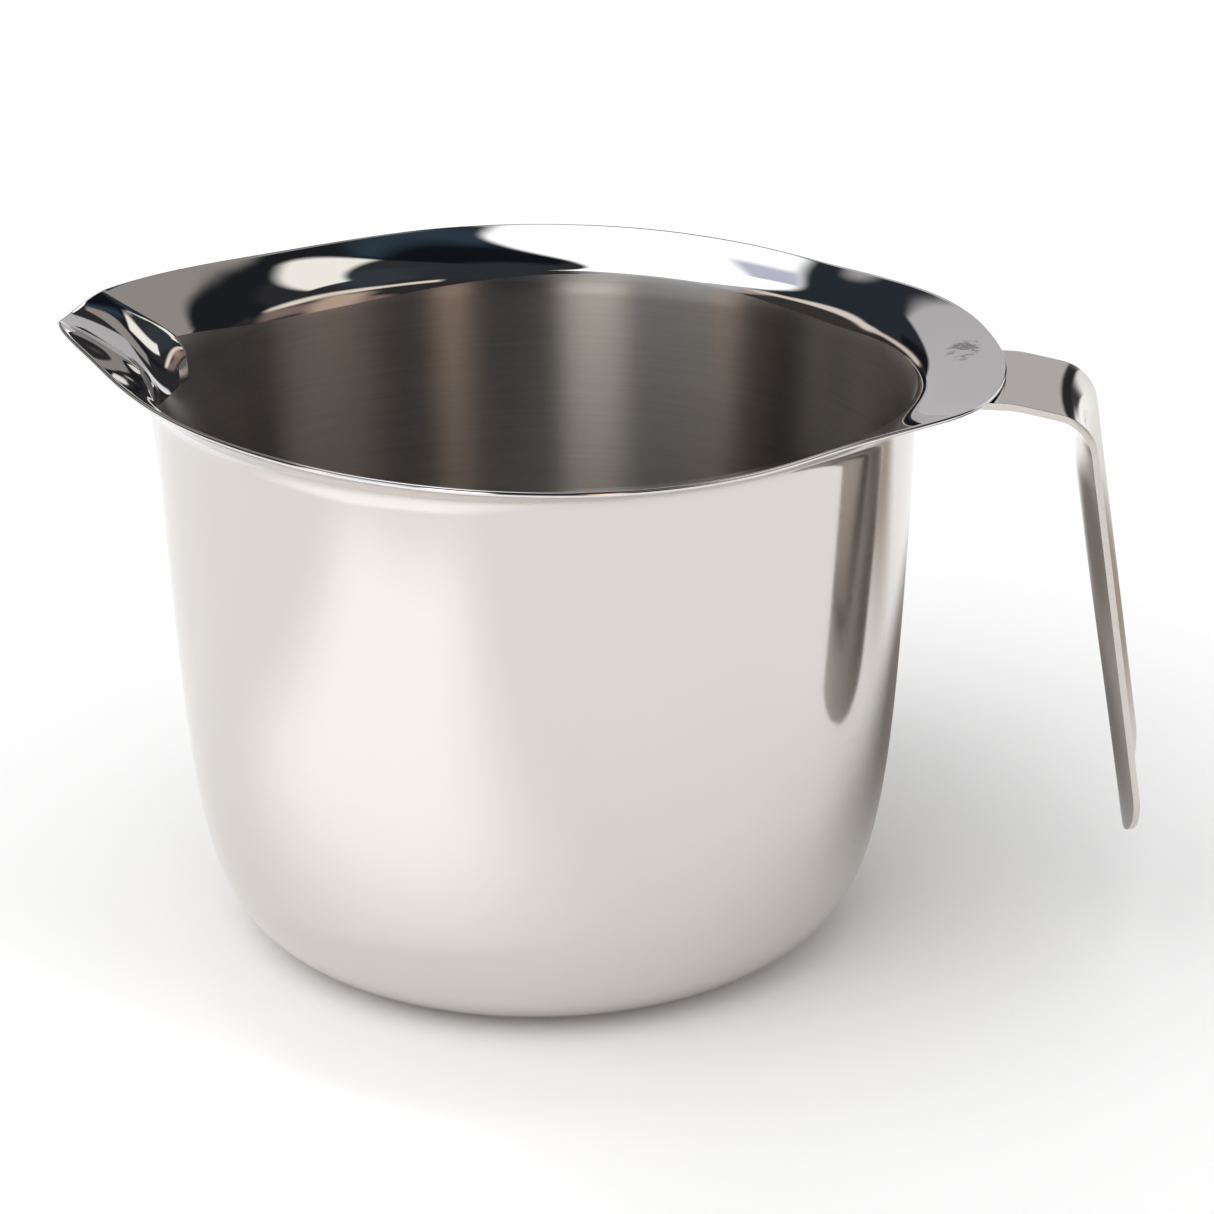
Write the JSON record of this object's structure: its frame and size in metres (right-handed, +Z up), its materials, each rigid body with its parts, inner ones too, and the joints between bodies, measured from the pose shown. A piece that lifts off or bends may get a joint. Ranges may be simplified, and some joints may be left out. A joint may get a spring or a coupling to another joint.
{
  "type": "pouring pot",
  "caption": "Deep-drawn steel pouring pot with a flared lip, a pressed pouring spout and a pressed strap handle welded under the lip, for melting and pouring wax.",
  "frame": {"origin": "centre of the flat underside, on the bowl's axis", "axes": "+Z up along the bowl's axis, +X towards the handle, spout towards -X"},
  "size_m": [0.2007, 0.174, 0.1142],
  "materials": {
    "bowl_steel": "stainless steel, bright polished lip and outside, fine brushing round the inside",
    "handle_steel": "stainless steel, polished with fine lengthwise brushing",
    "weld_steel": "spot weld, dull"
  },
  "bodies": {
    "root": {"bowl": "bowl_steel", "handle": "handle_steel", "handle_weld_1": "weld_steel", "handle_weld_2": "weld_steel"}
  },
  "joints": []
}
